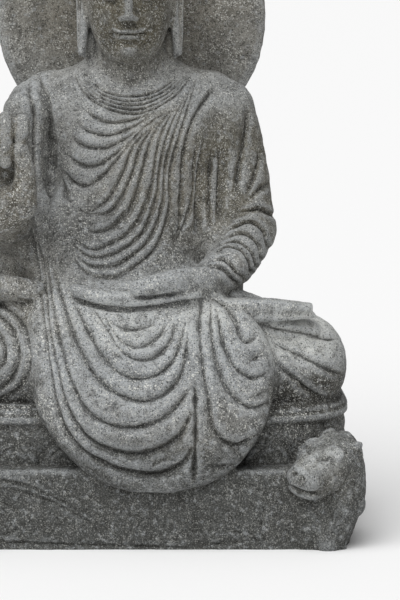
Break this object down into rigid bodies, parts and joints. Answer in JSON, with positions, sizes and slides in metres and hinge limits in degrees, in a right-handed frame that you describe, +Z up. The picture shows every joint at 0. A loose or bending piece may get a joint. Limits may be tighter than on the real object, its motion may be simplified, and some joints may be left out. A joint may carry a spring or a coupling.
{
  "type": "seated buddha statue",
  "caption": "Carved stone seated figure in a draped robe, one hand raised and one in the lap, with a round halo, a petalled seat and a slab base that it stands on.",
  "frame": {"origin": "on the ground under the middle of the statue's footprint", "axes": "+Z up, the figure faces -Y, and its own left hand is towards +X"},
  "size_m": [0.7206, 0.4622, 0.9947],
  "materials": {
    "andesite": "rough carved grey stone with fine light and dark speckles"
  },
  "bodies": {
    "root": {"statue": "andesite"}
  },
  "joints": []
}
